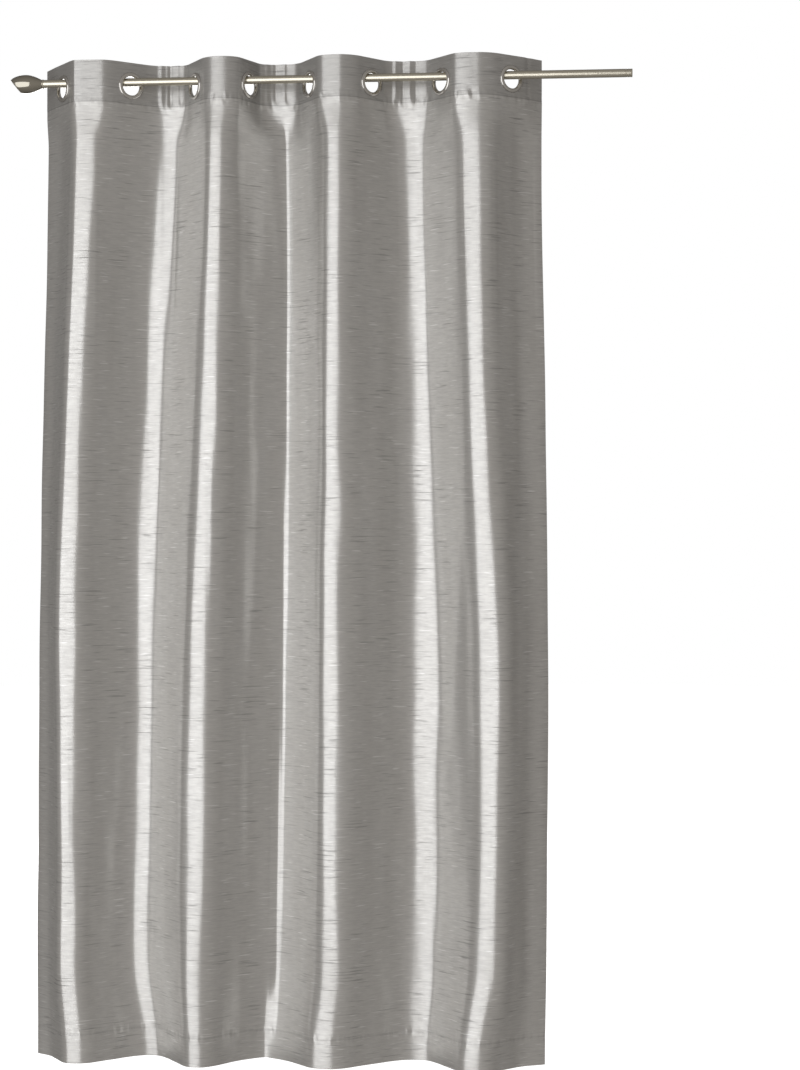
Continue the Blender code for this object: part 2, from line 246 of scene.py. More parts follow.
def column_shares(header):
    """Each column's share of the cloth's width, even from each eyelet to the next fold."""
    runs = lengths(header)
    found = [runs[0]]
    for half in range(2 * EYELETS):
        low = int(np.argmin(np.hypot(*(header - half_ends(header, half)).T)))
        high = int(np.argmin(np.hypot(*(header - half_ends(header, half + 1)).T)))
        found.extend(np.linspace(runs[low], runs[high], COLUMNS + 1)[1:])
    return np.array(found) / runs[-1]


def plan_at(level, deeper):
    """The plan curve at one of the known heights, with its depths multiplied."""
    folds = [np.array((FOLD_X[fold][level], front_or_back(fold) * deeper * FOLD_DEPTH[fold][level]))
             for fold in range(FOLDS)]
    left = np.array((LEFT_EDGE[0][level], deeper * LEFT_EDGE[1][level]))
    right = np.array((RIGHT_EDGE[0][level], deeper * RIGHT_EDGE[1][level]))
    ends = [left] + folds + [right]
    crossings = [(before + after) / 2 for before, after in zip(ends, ends[1:])]
    ways = []
    for before, after in zip(ends, ends[1:]):
        run = after - before
        steep = atan2(STEEPER * abs(run[1]), abs(run[0]))
        ways.append(np.array((cos(steep), np.sign(run[1]) * sin(steep))))
    return plan(crossings, ways, [LOWER_FLAT] * EYELETS, folds, left, right, FOLD_ROUND)


def lower_plan(level, whole):
    """The plan curve at one of the known heights, as deep as it takes to hold the whole cloth."""
    low, high = 0.7, 2.0
    for _ in range(30):
        deeper = (low + high) / 2
        found = plan_at(level, deeper)
        if lengths(found)[-1] < whole:
            low = deeper
        else:
            high = deeper
    return found


def pchip(levels, values, heights):
    """Values between levels on smooth curves without overshoot, for each column."""
    order = np.argsort(levels)
    z, v = np.asarray(levels, float)[order], np.asarray(values)[order]
    step = np.diff(z)[:, None, None]
    slope = np.diff(v, axis=0) / step
    middle = np.where(slope[1:] * slope[:-1] > 0,
                      2 * slope[1:] * slope[:-1] / (slope[1:] + slope[:-1] + 1e-12), 0)
    bend = np.concatenate([slope[:1] * 0, middle, slope[-1:] * 0])
    place = np.clip(np.searchsorted(z, heights) - 1, 0, len(z) - 2)
    width = (z[place + 1] - z[place])[:, None, None]
    t = ((heights - z[place]) / (z[place + 1] - z[place]))[:, None, None]
    return (v[place] * (2 * t ** 3 - 3 * t ** 2 + 1)
            + bend[place] * width * (t ** 3 - 2 * t ** 2 + t)
            + v[place + 1] * (3 * t ** 2 - 2 * t ** 3)
            + bend[place + 1] * width * (t ** 3 - t ** 2))


def row_heights():
    """Heights of the grid's rows, closer together in the header and at the hem."""
    header = np.arange(HEADER_TOP, HEADER_SEAM - 0.030, -HEADER_ROW)
    hem = np.arange(HEM_EDGE, HEM_SEAM + 0.020, HEM_ROW)[::-1]
    count = int((header[-1] - hem[0]) / MIDDLE_ROW)
    middle = np.linspace(header[-1], hem[0], count + 1)[1:-1]
    return np.concatenate([header, middle, hem])


def smooth_step(low, high, value):
    """0 below low, 1 above high, and smooth between."""
    t = np.clip((value - low) / (high - low), 0, 1)
    return t * t * (3 - 2 * t)


def grid_normals(surface):
    """Front normals of a grid of points."""
    across = np.gradient(surface, axis=1)
    down = np.gradient(surface, axis=0)
    normals = np.cross(down, across)
    normals /= np.linalg.norm(normals, axis=2)[..., None]
    return normals


def noise_field(across, down, scale_across, scale_down, seed):
    """Smooth noise over the grid, about -0.5 to 0.5."""
    values = np.empty(across.shape)
    for row in range(across.shape[0]):
        for column in range(across.shape[1]):
            values[row, column] = noise.noise(Vector((across[row, column] / scale_across,
                                                      down[row, column] / scale_down, seed)))
    return values


class Cloth:
    """The hung surface: points, flat coordinates and normals on one grid."""

    def __init__(self):
        self.heights = row_heights()
        top = header_plan()
        whole = lengths(top)[-1]
        shares = column_shares(top)
        levels = [HEADER_TOP, HEADER_SEAM - 0.010] + list(LEVELS)
        plans = [top, top] + [lower_plan(level, whole) for level in range(len(LEVELS))]
        plans = pchip(levels, [sample(points, shares) for points in plans], self.heights)
        rows, columns = plans.shape[:2]
        heights = np.repeat(self.heights[:, None], columns, axis=1)
        self.points = np.concatenate([plans, heights[..., None]], axis=2)
        self.across = np.repeat((shares * whole)[None], rows, axis=0)
        self.down = HEADER_TOP - heights
        self.add_detail()
        self.normals = grid_normals(self.points)

    def add_detail(self):
        """Soft waves down the folds, puckers along the seams and an uneven hem."""
        normals = grid_normals(self.points)
        z = self.points[..., 2]
        below = smooth_step(-0.05, -0.30, z)
        slow = noise_field(self.across, self.down, 0.16, 0.55, 3.1)
        quick = noise_field(self.across, self.down, 0.045, 0.22, 7.7)
        lift = below * (SLOW_WAVE * slow + QUICK_WAVE * quick)
        ripple = noise_field(self.across, self.down, 0.009, 0.030, 11.3)
        for seam, reach, height in ((HEADER_SEAM, 0.012, 0.0018), (HEM_SEAM, 0.010, 0.0014)):
            lift += height * ripple * np.exp(-((z - seam) / reach) ** 2)
        above = smooth_step(HEADER_SEAM - 0.012, HEADER_SEAM + 0.012, z)
        for eyelet, away, width, height in CREASES:
            middle = self.across[0, self.eyelet_column(eyelet)] + away
            lift += height * above * np.exp(-((self.across - middle) / width) ** 2)
        free = np.clip(self.ring_distance() / 0.02, 0, 1)
        self.points = self.points + normals * (lift * free)[..., None]

    def ring_distance(self):
        """How far each grid point is outside the nearest eyelet's flange."""
        least = np.full(self.across.shape, 1.0)
        for number, (centre, _) in enumerate(AXES):
            middle = self.across[0, self.eyelet_column(number)]
            away = np.hypot(self.across - middle, self.points[..., 2] - centre[2]) - RING_RADIUS
            least = np.minimum(least, np.maximum(away, 0))
        return least

    @staticmethod
    def eyelet_column(number):
        """The grid column through an eyelet's centre."""
        return COLUMNS * (1 + 2 * number)


cloth = Cloth()


def strip_columns(strip):
    """First and last grid column of a strip: 0 is the leading edge, 8 is past the last eyelet."""
    first = 0 if strip == 0 else Cloth.eyelet_column(strip - 1)
    last = cloth.across.shape[1] - 1 if strip == EYELETS else Cloth.eyelet_column(strip)
    return first, last


def sheet_mesh(name, rows, columns, offset, thickness, holes=False):
    """A closed thin sheet over part of the cloth's grid, set off along its normals."""
    r0, r1 = rows
    c0, c1 = columns
    flat_x = cloth.across[r0:r1 + 1, c0:c1 + 1].copy()
    flat_z = cloth.points[r0:r1 + 1, c0:c1 + 1, 2].copy()
    points = cloth.points[r0:r1 + 1, c0:c1 + 1].copy()
    normals = cloth.normals[r0:r1 + 1, c0:c1 + 1]
    keep = np.ones((points.shape[0] - 1, points.shape[1] - 1), bool)
    if holes:
        for number, (centre, _) in enumerate(AXES):
            column = Cloth.eyelet_column(number)
            if c0 <= column <= c1:
                keep &= cut_hole(points, flat_x, flat_z, cloth.across[0, column], number, centre[2])
    front = points + normals * (offset + thickness / 2)
    back = points + normals * (offset - thickness / 2)
    count = points.shape[0] * points.shape[1]
    index = np.arange(count).reshape(points.shape[:2])
    quads = np.stack([index[:-1, :-1], index[1:, :-1], index[1:, 1:], index[:-1, 1:]], 2)[keep]
    sides = rim_quads(index, keep, count)
    faces = np.concatenate([quads, quads[:, ::-1] + count, sides])
    places = np.concatenate([front.reshape(-1, 3), back.reshape(-1, 3)])
    flat = np.stack([flat_x.ravel(), cloth.down[r0:r1 + 1, c0:c1 + 1].ravel()], 1)
    return mesh_object(name, places, faces, np.concatenate([flat, flat]))


def cut_hole(points, flat_x, flat_z, middle, number, height):
    """Open an eyelet's hole in a strip's cells, and round its edge."""
    away_x, away_z = flat_x - middle, flat_z - height
    away = np.hypot(away_x, away_z)
    inside = away < HOLE_RADIUS - 0.0012
    keep = ~(inside[:-1, :-1] | inside[1:, :-1] | inside[1:, 1:] | inside[:-1, 1:])
    used = np.zeros(points.shape[:2], bool)
    for r, c in ((0, 0), (1, 0), (1, 1), (0, 1)):
        used[r:used.shape[0] - 1 + r, c:used.shape[1] - 1 + c] |= keep
    opened = np.zeros(points.shape[:2], bool)
    for r, c in ((0, 0), (1, 0), (1, 1), (0, 1)):
        opened[r:opened.shape[0] - 1 + r, c:opened.shape[1] - 1 + c] |= ~keep
    rim = used & opened & (away < HOLE_RADIUS + 0.006)
    along = ALONG[number]
    grow = HOLE_RADIUS / np.maximum(away, 1e-6) - 1
    points[..., 0] += np.where(rim, away_x * grow * along[0], 0)
    points[..., 1] += np.where(rim, away_x * grow * along[1], 0)
    points[..., 2] += np.where(rim, away_z * grow, 0)
    flat_x += np.where(rim, away_x * grow, 0)
    return keep


def rim_quads(index, keep, count):
    """Faces that close a sheet's front to its back wherever a kept cell has no neighbour."""
    padded = np.pad(keep, 1)
    found = []
    for row_step, column_step, a, b in ((-1, 0, (0, 1), (0, 0)), (1, 0, (1, 0), (1, 1)),
                                        (0, -1, (0, 0), (1, 0)), (0, 1, (1, 1), (0, 1))):
        beside = padded[1 + row_step:padded.shape[0] - 1 + row_step,
                        1 + column_step:padded.shape[1] - 1 + column_step]
        cells = np.argwhere(keep & ~beside)
        start = index[cells[:, 0] + a[0], cells[:, 1] + a[1]]
        end = index[cells[:, 0] + b[0], cells[:, 1] + b[1]]
        found.append(np.stack([end, start, start + count, end + count], 1))
    return np.concatenate(found)


def mesh_object(name, places, faces, flat=None):
    """An object of these faces without unused points, with flat coordinates as its UV."""
    used, faces = np.unique(faces, return_inverse=True)
    faces = faces.reshape(-1, 4)
    mesh = bpy.data.meshes.new(name)
    mesh.from_pydata(places[used].tolist(), [], faces.tolist())
    if flat is not None:
        layer = mesh.uv_layers.new(name="flat_cloth")
        corners = flat[used][faces.ravel()]
        layer.data.foreach_set("uv", corners.astype(np.float32).ravel())
    mesh.shade_smooth()
    mesh.update()
    made = bpy.data.objects.new(name, mesh)
    bpy.context.collection.objects.link(made)
    return made


def follow(piece, strip):
    """Attach the last strip's piece to the last leaf's body, and bake every other piece's place into
    its mesh.
    """
    if strip == EYELETS:
        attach(piece, f"leaf_{EYELETS}")
        return
    first, last = strip_columns(strip)
    if strip == 0:
        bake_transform(piece)
        return
    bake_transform(piece)


def row_at(height):
    """The grid row nearest to a height."""
    return int(np.abs(cloth.heights - height).argmin())


def make_cloth(satin, lining, thread):
    """Every strip of face cloth with its header lining, bottom hem, side hem and stitches."""
    rows = len(cloth.heights) - 1
    header_row, hem_row = row_at(HEADER_SEAM), row_at(HEM_SEAM)
    for strip in range(EYELETS + 1):
        columns = strip_columns(strip)
        end = "edge" if strip == 0 else str(strip)
        face_node = "cloth_leading_edge" if strip == 0 else f"cloth_leaf_{strip}"
        face = sheet_mesh(f"face_cloth_{end}", (0, rows), columns, 0, CLOTH, holes=True)
        header = sheet_mesh(f"header_lining_{end}", (0, header_row), columns, LINING_PLACE, LINING,
                            holes=True)
        hem = sheet_mesh(f"hem_cloth_{end}", (hem_row, rows), columns, HEM_PLACE, CLOTH)
        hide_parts(face_node)
        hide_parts(f"header_facing_{end}")
        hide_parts(f"bottom_hem_{end}")
        pieces = [header, hem]
        if strip in (0, EYELETS):
            side = "left" if strip == 0 else "right"
            wide = int(round(SIDE_HEM / (cloth.across[0, columns[1]] - cloth.across[0, columns[0]])
                             * (columns[1] - columns[0])))
            span = (columns[1] - wide, columns[1])
            if strip == 0:
                span = (columns[0], columns[0] + wide)
            folded = sheet_mesh(f"side_hem_cloth_{side}", (header_row + 1, hem_row - 1), span,
                                HEM_PLACE, CLOTH)
            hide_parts(f"side_hem_{side}")
            pieces.append(folded)
        for piece in [face] + pieces:
            piece.data.materials.append(lining if piece == header else satin)
            piece.data.set_sharp_from_angle(angle=radians(50))
        stitches = [sew(f"header_stitches_{end}", HEADER_SEAM + SEAM_INSET, columns, thread),
                    sew(f"hem_stitches_{end}", HEM_SEAM - SEAM_INSET, columns, thread)]
        for piece in [face] + pieces + stitches:
            follow(piece, strip)


def sew(name, height, columns, thread):
    """A line of stitches on the cloth's front along one height."""
    row = row_at(height)
    path = cloth.points[row, columns[0]:columns[1] + 1] + cloth.normals[
        row, columns[0]:columns[1] + 1] * (CLOTH / 2 + THREAD * 0.4)
    out = cloth.normals[row, columns[0]:columns[1] + 1]
    runs = np.r_[0, np.cumsum(np.linalg.norm(np.diff(path, axis=0), axis=1))]
    made = bmesh.new()
    for stitch in range(int(runs[-1] / STITCH)):
        begin = (stitch + 0.14) * STITCH
        rings = []
        for share, thick in ((0, 0.35), (0.15, 0.85), (0.5, 1.0), (0.85, 0.85), (1, 0.35)):
            at = begin + share * STITCH_SHARE * STITCH
            middle = Vector([np.interp(at, runs, path[:, axis]) for axis in range(3)])
            normal = Vector([np.interp(at, runs, out[:, axis]) for axis in range(3)]).normalized()
            arch = THREAD * (0.6 - 2.4 * (share - 0.5) ** 2)
            rings.append([made.verts.new(middle + normal * (arch + THREAD * thick * sin(angle))
                                         + Vector((0, 0, THREAD * thick * cos(angle))))
                          for angle in (pi / 3 * side for side in range(6))])
        for low, high in zip(rings, rings[1:]):
            for side in range(6):
                after = (side + 1) % 6
                made.faces.new((low[side], low[after], high[after], high[side]))
        made.faces.new(rings[0][::-1])
        made.faces.new(rings[-1])
    bmesh.ops.recalc_face_normals(made, faces=made.faces)
    mesh = bpy.data.meshes.new(name)
    made.to_mesh(mesh)
    made.free()
    mesh.shade_smooth()
    mesh.materials.append(thread)
    piece = bpy.data.objects.new(name, mesh)
    bpy.context.collection.objects.link(piece)
    return piece


# ---------------------------------------------------------------- metal

def lathe(name, profile, centre, axis, segments=96, closed=True):
    """A turned solid from (radius, distance along its axis) points."""
    axis = Vector(axis).normalized()
    across = axis.cross(Vector((0, 0, 1)))
    if across.length < 0.5:
        across = Vector((0, 1, 0))
    across.normalize()
    upright = axis.cross(across)
    made = bmesh.new()
    rings = []
    for radius, along in profile:
        middle = Vector(centre) + along * axis
        if radius == 0:
            rings.append([made.verts.new(middle)])
            continue
        rings.append([made.verts.new(middle + radius * (cos(a) * across + sin(a) * upright))
                      for a in (2 * pi * step / segments for step in range(segments))])
    pairs = list(zip(rings, rings[1:])) + ([] if profile[0][0] == 0 else [(rings[-1], rings[0])])
    for low, high in pairs:
        for step in range(segments):
            after = (step + 1) % segments
            corners = [low[step % len(low)], low[after % len(low)],
                       high[after % len(high)], high[step % len(high)]]
            made.faces.new(list(dict.fromkeys(corners)))
    bmesh.ops.recalc_face_normals(made, faces=made.faces)
    return finish_mesh(name, made)


def finish_mesh(name, made, sharp=35):
    """An object from a bmesh, smooth but for its sharp edges."""
    mesh = bpy.data.meshes.new(name)
    made.to_mesh(mesh)
    made.free()
    mesh.shade_smooth()
    mesh.set_sharp_from_angle(angle=radians(sharp))
    piece = bpy.data.objects.new(name, mesh)
    bpy.context.collection.objects.link(piece)
    return piece


def rounded(inner, outer, base, height, edge, steps=18):
    """Profile points over a ring's domed flange."""
    middle, half = (inner + outer) / 2, (outer - inner) / 2
    angles = [pi * (1 - step / steps) for step in range(steps + 1)]
    return [(middle + half * cos(a), base + height * (edge + (1 - edge) * sin(a))) for a in angles]


def make_eyelets(nickel):
    """A front ring with its barrel, and a back ring, for each eyelet."""
    bore, barrel = RING_RADIUS - 0.0095, RING_RADIUS - 0.0095 + 0.0014
    for number, (centre, normal) in enumerate(AXES):
        front_seat, back_seat = 0.0008, -0.0019
        front = [(barrel, back_seat - 0.0012), (bore + 0.0003, back_seat - 0.0012),
                 (bore, back_seat)]
        front += rounded(bore, RING_RADIUS, front_seat, 0.0038, 0.22)
        front += [(RING_RADIUS - 0.0004, front_seat - 0.0004), (barrel, front_seat - 0.0004)]
        back = [(barrel + 0.0002, back_seat)]
        back += rounded(barrel + 0.0002, RING_RADIUS, back_seat, -0.0024, 0.22)
        back += [(RING_RADIUS - 0.0004, back_seat + 0.0003)]
        for side, profile in (("front", front), ("back", back)):
            ring = lathe(f"eyelet_ring_{side}_{number + 1}", profile, centre, normal)
            ring.data.materials.append(nickel)
            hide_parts(f"eyelet_{side}_{number + 1}")
            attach(ring, f"leaf_{number + 1}")


def make_rod(brushed, burnished):
    """The rod's tube and end cap, and the finial's collar and bud."""
    tube_low, tube_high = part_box("rod_tube")
    cap_low, cap_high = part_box("rod_end_cap")
    collar_low, collar_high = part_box("finial_collar")
    radius = (tube_high.z - tube_low.z) / 2
    left, right, face = tube_low.x, tube_high.x, cap_high.x
    bore = radius - 0.0012
    line = (1, 0, 0)
    tube = lathe("rod_tube_finish", [(bore, left), (radius - 0.0002, left), (radius, left + 0.0002),
                                     (radius, right - 0.0002), (radius - 0.0002, right), (bore, right)],
                 (0, 0, 0), line)
    spigot = bore - 0.0003
    seat = right + 0.0003
    length = face - seat
    cap_profile = [(0, cap_low.x), (spigot, cap_low.x), (spigot, seat), (radius - 0.0003, seat),
                   (radius, seat + 0.0003)]
    for middle in (0.26, 0.66):
        for share, depth in ((-0.06, 0), (-0.03, 0.0005), (0, 0.0006), (0.03, 0.0005), (0.06, 0)):
            cap_profile.append((radius - depth, seat + (middle + share) * length))
    cap_profile += [(radius, face - 0.0008), (radius - 0.0003, face - 0.0002),
                    (radius - 0.0010, face), (0, face)]
    cap = lathe("rod_end_cap_finish", cap_profile, (0, 0, 0), line)
    bead = (collar_high.z - collar_low.z) / 2 - radius
    bead_start = left - 0.0003
    bead_length = bead_start - collar_low.x
    collar_profile = [(0, -collar_high.x), (spigot, -collar_high.x), (spigot, -bead_start)]
    collar_profile += [(radius + bead * sin(pi * step / 12), -bead_start + bead_length * step / 12)
                       for step in range(13)]
    collar_profile += [(0, -collar_low.x)]
    collar = lathe("finial_collar_finish", collar_profile, (0, 0, 0), (-1, 0, 0))
    pod = make_pod(radius)
    for piece, node, body in ((tube, "rod_tube", "rod"), (cap, "rod_end_cap", "rod"),
                              (collar, "finial_collar", "finial"), (pod, "finial_pod", "finial")):
        piece.data.materials.append(burnished if piece is pod else brushed)
        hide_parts(node)
        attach(piece, body)


POD_BELLY = 0.040
POD_CUT_TOP = 0.011
POD_CUT_RUN = 0.027
POD_CUT_FALL = 0.034


def make_pod(neck):
    """The finial's bud: turned, then trimmed by an oblique plane whose edge is rounded."""
    low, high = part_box("finial_pod")
    start, tip = high.x, low.x
    girth, length = (high.y - low.y) / 2, high.x - low.x
    nose = (length - POD_BELLY) / sqrt(1 - (POD_CUT_TOP / girth) ** 2)
    profile = [(0, 0)]
    for step in range(29):
        share = step / 28
        profile.append((neck + (girth - neck) * sin(share * pi / 2), POD_BELLY * share))
    for step in range(1, 45):
        angle = step / 44 * pi / 2
        profile.append((girth * cos(angle) if step < 44 else 0, POD_BELLY + nose * sin(angle)))
    pod = lathe("finial_bud", profile, (start, 0, 0), (-1, 0, 0))
    made = bmesh.new()
    made.from_mesh(pod.data)
    run = Vector((POD_CUT_RUN, 0, -POD_CUT_FALL)).normalized()
    out = Vector((run.z, 0, -run.x))
    cut = bmesh.ops.bisect_plane(made, geom=made.verts[:] + made.edges[:] + made.faces[:],
                                 plane_co=Vector((tip, 0, POD_CUT_TOP)), plane_no=out,
                                 clear_outer=True)
    rim = [piece for piece in cut["geom_cut"] if isinstance(piece, bmesh.types.BMEdge)]
    filled = bmesh.ops.contextual_create(made, geom=rim)["faces"]
    edges = list(filled[0].edges)
    bmesh.ops.bevel(made, geom=edges, offset=0.0010, segments=3, profile=0.5, affect="EDGES",
                    clamp_overlap=True)
    bmesh.ops.recalc_face_normals(made, faces=made.faces)
    made.to_mesh(pod.data)
    made.free()
    pod.data.shade_smooth()
    pod.data.set_sharp_from_angle(angle=radians(35))
    return pod


# ---------------------------------------------------------------- materials

class Shader:
    """A node material with short ways to add and link its nodes."""

    def __init__(self, name):
        self.material = bpy.data.materials.new(name)
        self.material.use_nodes = True
        self.tree = self.material.node_tree
        self.principled = self.tree.nodes["Principled BSDF"]

    def put(self, socket, value):
        """Set a socket's value or link another socket to it."""
        if isinstance(value, bpy.types.NodeSocket):
            self.tree.links.new(value, socket)
        else:
            socket.default_value = value

    def set(self, **values):
        """Set the Principled shader's inputs by name, with _ for a space."""
        for name, value in values.items():
            self.put(self.principled.inputs[name.replace("_", " ")], value)

    def math(self, operation, first, second=0.0, clamp=False):
        node = self.tree.nodes.new("ShaderNodeMath")
        node.operation = operation
        node.use_clamp = clamp
        self.put(node.inputs[0], first)
        self.put(node.inputs[1], second)
        return node.outputs[0]

    def noise(self, place, size, detail=1.0, dimensions="2D"):
        """Noise stretched to a size in metres along each axis, 0 to 1."""
        scale = self.tree.nodes.new("ShaderNodeVectorMath")
        scale.operation = "MULTIPLY"
        self.put(scale.inputs[0], place)
        scale.inputs[1].default_value = [1 / length for length in size]
        node = self.tree.nodes.new("ShaderNodeTexNoise")
        node.noise_dimensions = dimensions
        self.put(node.inputs["Vector"], scale.outputs[0])
        node.inputs["Scale"].default_value = 1.0
        node.inputs["Detail"].default_value = detail
        return node.outputs[0]

    def band(self, value, low, high, to_low=0.0, to_high=1.0):
        """A value's range mapped to another, clamped."""
        node = self.tree.nodes.new("ShaderNodeMapRange")
        node.interpolation_type = "SMOOTHSTEP"
        for socket, number in zip(node.inputs, (value, low, high, to_low, to_high)):
            self.put(socket, number)
        return node.outputs[0]

    def mix(self, share, first, second):
        """A colour between two by a share."""
        node = self.tree.nodes.new("ShaderNodeMix")
        node.data_type = "RGBA"
        self.put(node.inputs[0], share)
        self.put(node.inputs[6], first)
        self.put(node.inputs[7], second)
        return node.outputs[2]

    def bump(self, height, distance, strength, normal=None):
        node = self.tree.nodes.new("ShaderNodeBump")
        self.put(node.inputs["Height"], height)
        node.inputs["Distance"].default_value = distance
        node.inputs["Strength"].default_value = strength
        if normal is not None:
            self.put(node.inputs["Normal"], normal)
        return node.outputs[0]

    def math_offset(self, place, by):
        """A place moved by an offset."""
        node = self.tree.nodes.new("ShaderNodeVectorMath")
        self.put(node.inputs[0], place)
        node.inputs[1].default_value = by
        return node.outputs[0]

    def uv(self):
        node = self.tree.nodes.new("ShaderNodeUVMap")
        node.uv_map = "flat_cloth"
        return node.outputs[0]

    def place(self):
        return self.tree.nodes.new("ShaderNodeTexCoord").outputs["Object"]


HEADER_DROP = HEADER_TOP - HEADER_SEAM
HEM_DROP = HEADER_TOP - HEM_SEAM


def satin_material():
    """Silver-grey faux silk: a shiny weave with slubs along the weft, with painted shade over the
    header band and along the two seams, and a painted sheen on the lighter slubs.
    """
    s = Shader("satin_cloth_weave")
    uv = s.uv()
    slub = s.noise(uv, (0.080, 0.0037, 1))
    cluster = s.noise(uv, (0.20, 0.09, 1), 2)
    sparse = s.band(cluster, 0.35, 0.65, 0.720, 0.635)
    dark = s.math("MULTIPLY", s.math("SUBTRACT", slub, sparse), 9.0, clamp=True)
    # Lighter slubs: thicker weft threads (also raised in the bump), painted lighter in colour as a
    # painted sheen for the glint they catch
    other = s.noise(s.math_offset(uv, (3.7, 9.1, 0)), (0.055, 0.0040, 1))
    light = s.math("MULTIPLY", s.math("SUBTRACT", other, 0.69), 9.0, clamp=True)
    weave = s.noise(uv, (0.014, 0.0012, 1), 2)
    warp = s.noise(uv, (0.0012, 0.030, 1), 1)
    cloud = s.noise(uv, (0.05, 0.40, 1), 2)
    tone = s.mix(cloud, (0.54, 0.525, 0.50, 1), (0.60, 0.59, 0.57, 1))
    tone = s.mix(s.math("MULTIPLY", s.band(weave, 0.3, 0.7), 0.24), tone, (0.44, 0.43, 0.42, 1))
    streak = s.noise(uv, (0.042, 0.0040, 1), 2)
    tone = s.mix(s.math("MULTIPLY", s.band(streak, 0.40, 0.64), 0.20), tone, (0.38, 0.37, 0.365, 1))
    tone = s.mix(s.math("MULTIPLY", dark, 0.46), tone, (0.24, 0.235, 0.23, 1))
    # Painted sheen: the lighter slubs lift the colour towards pale grey
    tone = s.mix(s.math("MULTIPLY", light, 0.60), tone, (0.80, 0.79, 0.78, 1))
    split = s.tree.nodes.new("ShaderNodeSeparateXYZ")
    s.put(split.inputs[0], uv)
    down = split.outputs[1]
    # Painted shade: the header band's colour is darkened for the less light that comes through its
    # double layer of cloth and lining
    header = s.band(down, HEADER_DROP - 0.004, HEADER_DROP + 0.002, 0.26, 0.0)
    # Painted shade: a dark line along the header seam and a fainter one along the hem seam, for the
    # shade in the seams' creases
    seam = s.band(s.math("ABSOLUTE", s.math("SUBTRACT", down, HEADER_DROP)),
                  0.0008, 0.0026, 0.5, 0.0)
    painted_hem_seam_shade = s.band(s.math("ABSOLUTE", s.math("SUBTRACT", down, HEM_DROP)),
                      0.0008, 0.0030, 0.16, 0.0)
    # Painted shade: the header band and the seam lines are mixed towards this dark grey
    tone = s.mix(s.math("MAXIMUM", header, s.math("MAXIMUM", seam, painted_hem_seam_shade)), tone,
                 (0.20, 0.195, 0.19, 1))
    rough = s.band(weave, 0.25, 0.75, 0.30, 0.38)
    rough = s.math("ADD", rough, s.math("MULTIPLY", dark, 0.15))
    rough = s.math("ADD", rough, s.band(streak, 0.35, 0.65, -0.02, 0.03))
    height = s.math("ADD", s.math("MULTIPLY", weave, 0.5), s.math("MULTIPLY", warp, 0.25))
    height = s.math("ADD", height, s.math("ADD", dark, light))
    tangent = s.tree.nodes.new("ShaderNodeTangent")
    tangent.direction_type = "UV_MAP"
    tangent.uv_map = "flat_cloth"
    s.set(Base_Color=tone, Roughness=rough, Metallic=0.72,
          Anisotropic=0.75, Anisotropic_Rotation=0.25,
          Normal=s.bump(height, 0.0004, 0.25), Tangent=tangent.outputs[0])
    return s.material


def lining_material():
    """Matt woven interfacing in the cloth's colour."""
    s = Shader("header_lining_weave")
    uv = s.uv()
    weft = s.noise(uv, (0.010, 0.0012, 1), 2)
    warp = s.noise(uv, (0.0012, 0.010, 1), 2)
    grid = s.math("MULTIPLY", s.math("ADD", weft, warp), 0.5)
    tone = s.mix(s.band(grid, 0.35, 0.65), (0.33, 0.325, 0.315, 1), (0.46, 0.45, 0.44, 1))
    s.set(Base_Color=tone, Roughness=s.band(grid, 0.3, 0.7, 0.68, 0.84), Sheen_Weight=0.15,
          Normal=s.bump(grid, 0.0003, 0.4))
    return s.material


def thread_material():
    """Grey polyester sewing thread with its twist."""
    s = Shader("sewing_thread_twist")
    twist = s.noise(s.place(), (0.0006, 0.0006, 0.0003), 1, "3D")
    s.set(Base_Color=s.mix(twist, (0.22, 0.215, 0.21, 1), (0.38, 0.37, 0.36, 1)),
          Roughness=s.band(twist, 0.2, 0.8, 0.42, 0.6), Normal=s.bump(twist, 0.0001, 0.4))
    return s.material


def nickel_material():
    """Polished nickel plate, with faint smudges and fine scratches."""
    s = Shader("polished_nickel_plate")
    place = s.place()
    smudge = s.noise(place, (0.012, 0.012, 0.012), 3, "3D")
    scratch = s.noise(place, (0.0007, 0.0007, 0.010), 2, "3D")
    s.set(Base_Color=s.mix(smudge, (0.52, 0.50, 0.47, 1), (0.64, 0.62, 0.59, 1)), Metallic=1.0,
          Roughness=s.math("ADD", s.band(smudge, 0.3, 0.7, 0.06, 0.12),
                           s.band(scratch, 0.55, 0.75, 0.0, 0.05)),
          Normal=s.bump(scratch, 0.00005, 0.15))
    return s.material


def brushed_material(name, low, high, smooth, rough):
    """Warm nickel brushed along the rod, between two colours and two roughnesses."""
    s = Shader(name)
    place = s.place()
    grain = s.noise(place, (0.060, 0.0006, 0.0006), 3, "3D")
    cloud = s.noise(place, (0.10, 0.02, 0.02), 2, "3D")
    s.set(Base_Color=s.mix(grain, low, high), Metallic=1.0,
          Roughness=s.math("ADD", s.band(grain, 0.3, 0.7, smooth, rough),
                           s.band(cloud, 0.4, 0.7, 0.0, 0.04)),
          Normal=s.bump(grain, 0.00008, 0.25))
    return s.material


def floor_material():
    """Plain white studio floor."""
    s = Shader("studio_white")
    s.set(Base_Color=(0.9, 0.9, 0.9, 1), Roughness=0.9, Emission_Color=(1, 1, 1, 1),
          Emission_Strength=0.85)
    return s.material


# ---------------------------------------------------------------- studio

def area_light(name, place, target, size, power, colour=(1, 1, 1)):
    """A rectangular soft light that looks at a target."""
    data = bpy.data.lights.new(name, "AREA")
    data.shape = "RECTANGLE"
    data.size, data.size_y = size
    data.energy = power
    data.color = colour
    lamp = bpy.data.objects.new(name, data)
    lamp.location = place
    lamp.rotation_euler = (Vector(target) - Vector(place)).to_track_quat("-Z", "Y").to_euler()
    lamp.visible_camera = False
    bpy.context.collection.objects.link(lamp)


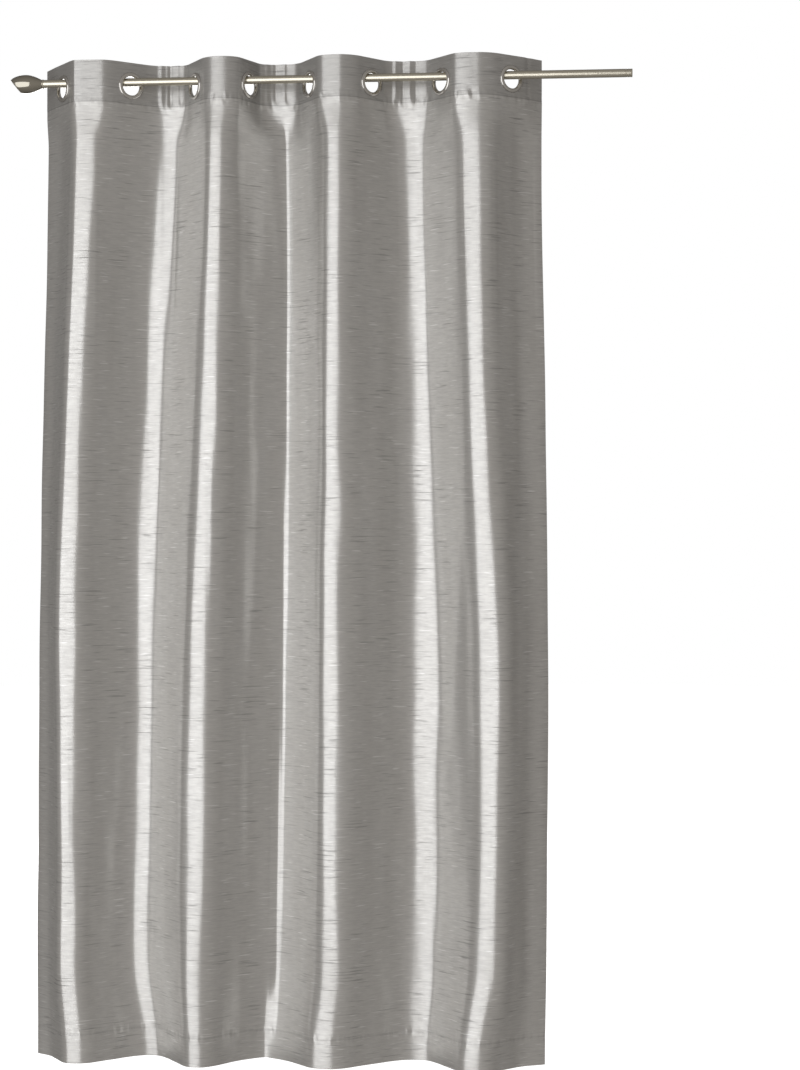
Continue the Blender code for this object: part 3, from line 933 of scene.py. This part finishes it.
def make_studio():
    """Camera, lights, world and floor."""
    data = bpy.data.cameras.new("camera")
    data.sensor_fit = "VERTICAL"
    data.sensor_height = 36.0
    data.lens = 69.75
    data.clip_end = 60
    camera = bpy.data.objects.new("camera", data)
    camera.location = (0.7065, -5.0, -1.108)
    camera.rotation_euler = (radians(90), 0, radians(4.94))
    bpy.context.collection.objects.link(camera)
    bpy.context.scene.camera = camera
    bpy.context.scene.view_settings.view_transform = "Standard"

    middle = (0, 0, (HEADER_TOP + HEM_EDGE) / 2)
    area_light("key", (-1.9, -4.65, -1.25), (0.17, -0.65, -1.25), (5.9, 5.8), 190,
               (0.955, 0.975, 1.0))
    area_light("back_fill", (-1.5, 4.0, middle[2] + 1.0), middle, (2.5, 2.5), 95)

    world = bpy.data.worlds.new("studio")
    bpy.context.scene.world = world
    world.use_nodes = True
    tree = world.node_tree
    grey = tree.nodes["Background"]
    grey.inputs[0].default_value = (1.0, 0.955, 0.905, 1)
    around = tree.nodes.new("ShaderNodeTexCoord")
    split = tree.nodes.new("ShaderNodeSeparateXYZ")
    tree.links.new(around.outputs["Generated"], split.inputs[0])
    levels = []
    for axis, ends in ((0, (WORLD_LEFT, WORLD_RIGHT)), (1, (WORLD_FRONT, WORLD_BACK))):
        level = tree.nodes.new("ShaderNodeMapRange")
        tree.links.new(split.outputs[axis], level.inputs[0])
        for socket, value in zip(list(level.inputs)[1:5], (-1.0, 1.0) + ends):
            socket.default_value = value
        levels.append(level.outputs[0])
    product = tree.nodes.new("ShaderNodeMath")
    product.operation = "MULTIPLY"
    tree.links.new(levels[0], product.inputs[0])
    tree.links.new(levels[1], product.inputs[1])
    tree.links.new(product.outputs[0], grey.inputs[1])
    white = tree.nodes.new("ShaderNodeBackground")
    white.inputs[0].default_value = (1, 1, 1, 1)
    white.inputs[1].default_value = 1.0
    path = tree.nodes.new("ShaderNodeLightPath")
    mix = tree.nodes.new("ShaderNodeMixShader")
    tree.links.new(path.outputs["Is Camera Ray"], mix.inputs[0])
    tree.links.new(grey.outputs[0], mix.inputs[1])
    tree.links.new(white.outputs[0], mix.inputs[2])
    tree.links.new(mix.outputs[0], tree.nodes["World Output"].inputs["Surface"])

    made = bmesh.new()
    bmesh.ops.create_circle(made, cap_ends=True, segments=96, radius=14,
                            matrix=Matrix.Translation((0, 0, HEM_EDGE - FLOOR_GAP)))
    floor = finish_mesh("studio_floor", made)
    floor.data.materials.append(floor_material())
    floor.visible_diffuse = floor.visible_glossy = floor.visible_shadow = False


FLOOR_GAP = 0.08           # floor below the hem
WORLD_LEFT = 0.33          # world's strength on the left and on the right
WORLD_RIGHT = 0.35
WORLD_FRONT = 1.28         # multiplied by these in front and behind
WORLD_BACK = 0.40

make_studio()
make_rod(brushed_material("brushed_nickel_grain", (0.56, 0.52, 0.43, 1), (0.66, 0.625, 0.53, 1),
                          0.17, 0.25),
         brushed_material("burnished_nickel", (0.36, 0.335, 0.28, 1), (0.44, 0.415, 0.355, 1),
                          0.06, 0.11))
make_eyelets(nickel_material())
make_cloth(satin_material(), lining_material(), thread_material())
